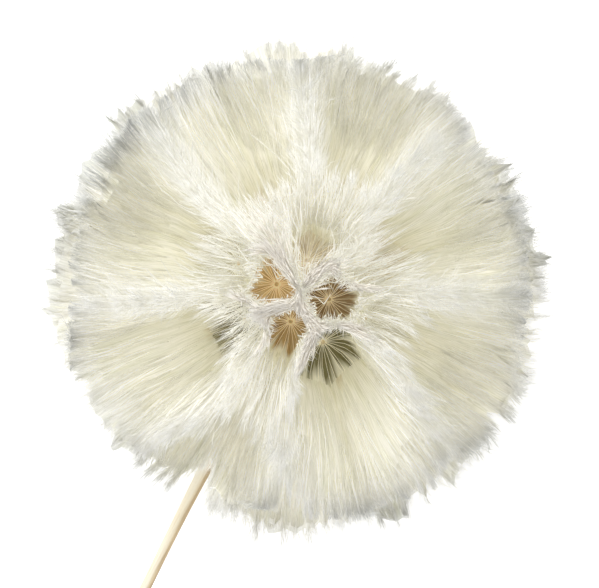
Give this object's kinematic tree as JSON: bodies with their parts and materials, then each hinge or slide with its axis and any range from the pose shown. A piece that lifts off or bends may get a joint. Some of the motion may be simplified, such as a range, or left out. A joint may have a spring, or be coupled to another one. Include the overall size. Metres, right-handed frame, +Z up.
{
  "type": "dandelion seed head",
  "caption": "Round, plumed dandelion-type seed head with separate seeds on one receptacle and a short cut stem, lying down.",
  "frame": {"origin": "on the surface that the seed head lies on, under the middle of the whole object", "axes": "+Z up from the surface; +Y from the cut end of the stem towards the head, along the surface; +X to the right of the stem, seen from above with the head at the top"},
  "size_m": [0.0796, 0.141, 0.079],
  "materials": {
    "stem_skin": "satin",
    "bract_leaf": "matte",
    "pappus_hair": "matte",
    "achene_husk": "matte"
  },
  "bodies": {
    "root": {"stem": "stem_skin", "bract_1": "bract_leaf", "bract_2": "bract_leaf", "bract_3": "bract_leaf", "bract_4": "bract_leaf", "bract_5": "bract_leaf", "bract_6": "bract_leaf", "bract_7": "bract_leaf", "bract_8": "bract_leaf", "seed_01": "pappus_hair", "seed_02": "pappus_hair", "seed_03": "pappus_hair", "seed_04": "pappus_hair", "seed_05": "pappus_hair", "seed_06": "pappus_hair", "seed_07": "pappus_hair", "seed_08": "pappus_hair", "seed_09": "pappus_hair", "seed_10": "pappus_hair", "seed_11": "pappus_hair", "seed_12": "pappus_hair", "seed_13": "pappus_hair", "seed_14": "pappus_hair", "seed_15": "pappus_hair", "seed_16": "pappus_hair", "seed_17": "pappus_hair", "seed_18": "pappus_hair", "seed_19": "pappus_hair", "seed_20": "pappus_hair", "seed_21": "pappus_hair", "seed_22": "pappus_hair", "seed_23": "pappus_hair", "seed_24": "pappus_hair", "seed_25": "pappus_hair", "seed_26": "pappus_hair", "seed_27": "pappus_hair", "seed_28": "pappus_hair", "seed_29": "pappus_hair", "seed_30": "pappus_hair", "seed_31": "pappus_hair", "seed_32": "pappus_hair", "seed_33": "pappus_hair", "seed_34": "pappus_hair", "seed_35": "pappus_hair", "seed_36": "pappus_hair", "seed_37": "pappus_hair", "seed_38": "pappus_hair", "seed_39": "pappus_hair", "seed_40": "pappus_hair", "seed_41": "pappus_hair", "seed_42": "pappus_hair", "seed_43": "pappus_hair", "seed_44": "pappus_hair", "seed_45": "pappus_hair", "seed_46": "pappus_hair", "seed_47": "pappus_hair", "seed_48": "pappus_hair", "seed_49": "pappus_hair", "seed_50": "pappus_hair"}
  },
  "joints": []
}
